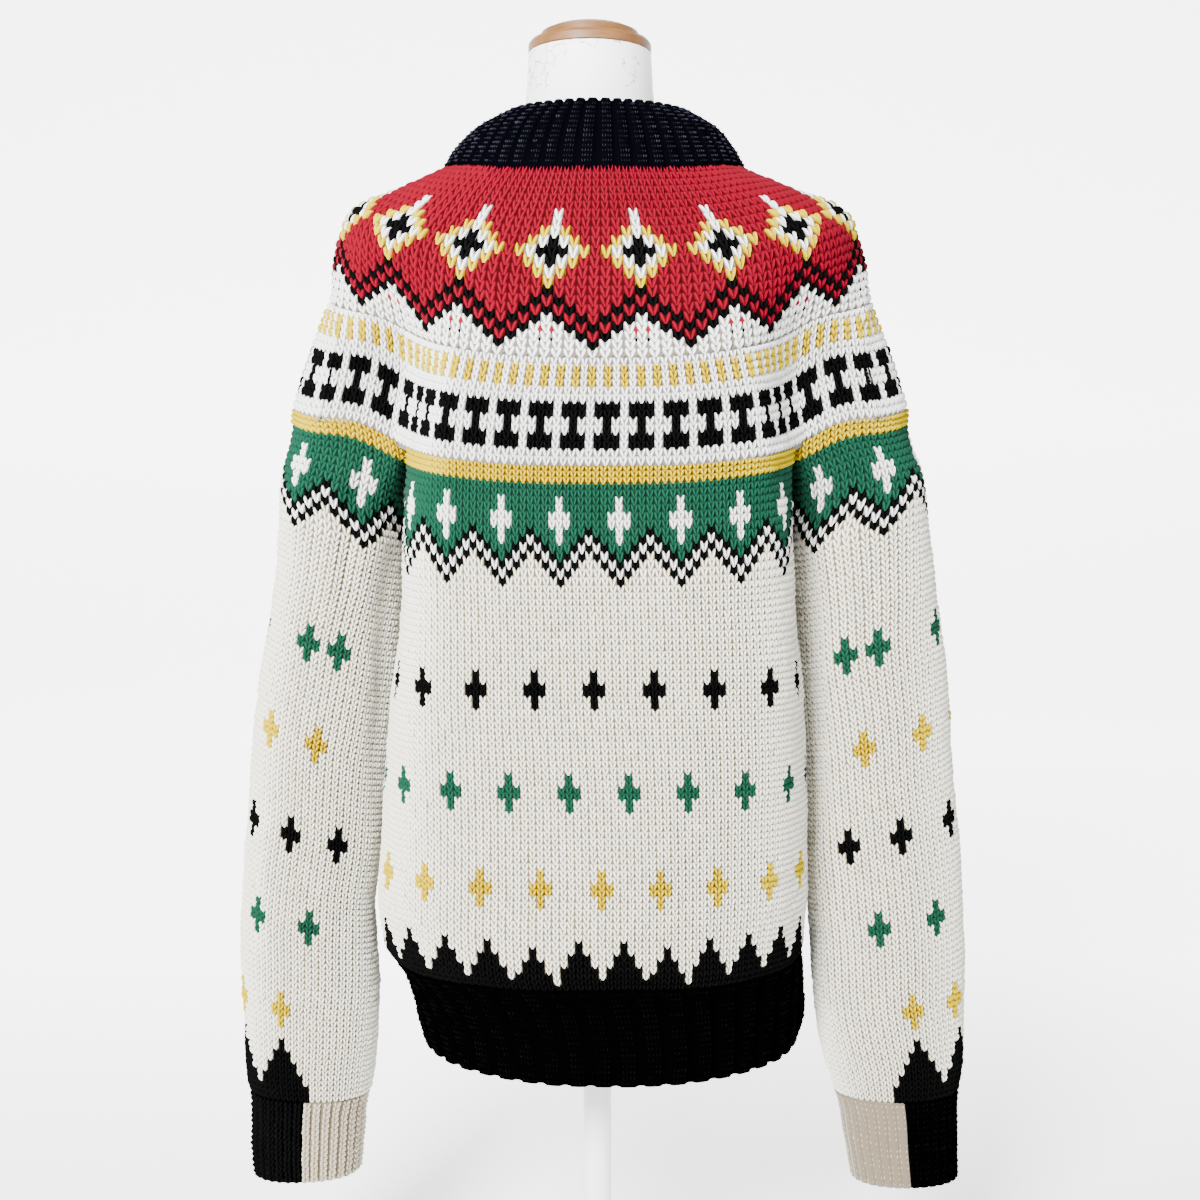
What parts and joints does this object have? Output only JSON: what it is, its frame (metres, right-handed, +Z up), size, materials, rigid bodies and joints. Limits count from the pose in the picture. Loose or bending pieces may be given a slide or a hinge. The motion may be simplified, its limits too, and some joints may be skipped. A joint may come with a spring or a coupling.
{
  "type": "nordic sweater on a limbless dress form",
  "caption": "Round-yoke knitted sweater with ribbed collar, hem and cuffs, worn by a limbless dress form on a pole stand.",
  "frame": {"origin": "middle of the footprint, at the underside of the stand's base", "axes": "+Z up, -Y the wearer's front, +Y the back that the picture shows, +X the wearer's left"},
  "size_m": [0.5622, 0.28, 1.0013],
  "materials": {
    "navy_rib": "navy-black ribbed wool",
    "yoke_knit": "red wool with patterned bands",
    "ivory_knit": "ivory wool with charted motifs",
    "black_rib": "black ribbed wool",
    "cuff_knit": "ribbed wool, black outside and ivory inside",
    "form_cloth": "smooth white covering with faint crazing",
    "turned_wood": "satin varnished beech",
    "white_steel": "satin white paint"
  },
  "bodies": {
    "root": {"collar": "navy_rib", "yoke_back": "yoke_knit", "yoke_front": "yoke_knit", "body_back": "ivory_knit", "body_front": "ivory_knit", "sleeve_left_back": "ivory_knit", "sleeve_left_front": "ivory_knit", "sleeve_right_back": "ivory_knit", "sleeve_right_front": "ivory_knit", "hem_rib": "black_rib", "cuff_left": "cuff_knit", "cuff_right": "cuff_knit", "form_torso": "form_cloth", "neck_cap": "turned_wood", "stand_pole": "white_steel", "stand_base": "white_steel"}
  },
  "joints": []
}
